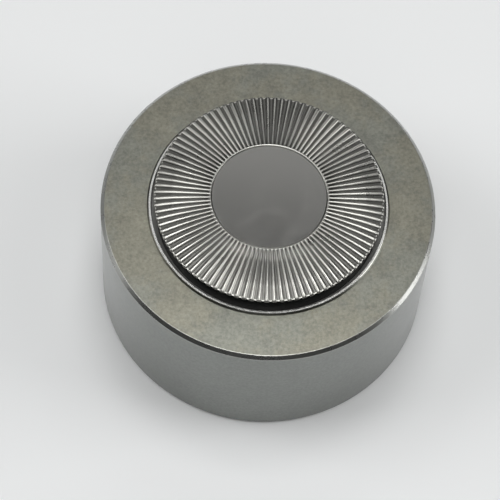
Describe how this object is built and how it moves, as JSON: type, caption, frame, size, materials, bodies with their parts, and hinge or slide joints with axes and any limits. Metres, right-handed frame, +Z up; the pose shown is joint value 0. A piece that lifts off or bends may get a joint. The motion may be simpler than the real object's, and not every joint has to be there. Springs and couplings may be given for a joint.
{
  "type": "plate demagnetizer",
  "caption": "Round bench demagnetizer for small work: a heavy turned puck with a raised fluted stage that is pressed to run the coil under it.",
  "frame": {"origin": "centre of the rest surface, under the rubber foot ring", "axes": "+Z up along the turned axis, +Y to the rear, where the power inlet is"},
  "size_m": [0.048, 0.048, 0.0261],
  "materials": {
    "blasted_steel": "bead-blasted matte grey",
    "nickel_plate": "nickel plate, satin",
    "polished_nickel": "polished nickel plate",
    "black_moulding": "satin black moulding",
    "bush_acetal": "grey acetal",
    "screw_steel": "zinc plated",
    "pin_steel": "ground steel",
    "spring_steel": "spring wire",
    "chassis_moulding": "dark grey moulding",
    "soft_iron": "annealed soft iron",
    "bobbin_moulding": "natural nylon",
    "copper_wire": "enamelled copper",
    "coil_tape_film": "yellow polyester film",
    "board_laminate": "green circuit laminate",
    "fish_paper": "grey insulating paper",
    "capacitor_case": "red film capacitor case",
    "component_moulding": "black epoxy",
    "fuse_case": "plain can",
    "plunger_moulding": "natural acetal",
    "tinned_brass": "tinned",
    "inlet_plating": "nickel plate",
    "lead_insulation": "flexible insulation",
    "plate_steel": "turned steel",
    "foot_rubber": "black rubber"
  },
  "bodies": {
    "puck": {"housing": "blasted_steel", "guide_bush": "bush_acetal", "guide_pins": "pin_steel", "return_springs": "spring_steel", "chassis": "chassis_moulding", "core_cup": "soft_iron", "core_pole": "soft_iron", "core_screw": "screw_steel", "coil_bobbin": "bobbin_moulding", "coil_winding": "copper_wire", "coil_tape": "coil_tape_film", "coil_leads": "copper_wire", "circuit_board": "board_laminate", "insulating_sheet": "fish_paper", "board_spacers": "bobbin_moulding", "film_capacitor": "capacitor_case", "bridge_rectifier": "component_moulding", "varistor": "component_moulding", "thermal_fuse": "fuse_case", "switch_body": "component_moulding", "switch_spring": "spring_steel", "switch_terminals": "tinned_brass", "inlet_shell": "inlet_plating", "inlet_insulator": "component_moulding", "inlet_pin": "tinned_brass", "inlet_tags": "tinned_brass", "supply_leads": "lead_insulation", "base_plate": "plate_steel", "base_plate_screws": "screw_steel", "foot_ring": "foot_rubber"},
    "stage": {"stage_carrier": "black_moulding", "fluted_stage": "nickel_plate", "stage_centre": "polished_nickel", "stage_screws": "screw_steel"},
    "plunger": {"switch_plunger": "plunger_moulding"}
  },
  "joints": [
    {"name": "stage_press", "type": "slide", "parent": "puck", "child": "stage", "axis": [0, 0, -1], "range_m": [0, 0.001], "stiffness_N_per_m": 1500, "springref_m": -0.003, "deforming": ["return_springs"]},
    {"name": "plunger_press", "type": "slide", "parent": "puck", "child": "plunger", "axis": [0, 0, -1], "range_m": [0, 0.001], "stiffness_N_per_m": 60, "springref_m": -0.001, "deforming": ["switch_spring"]}
  ],
  "couplings": [
    {"joint": "plunger_press", "follows": "stage_press", "ratio": 1}
  ]
}
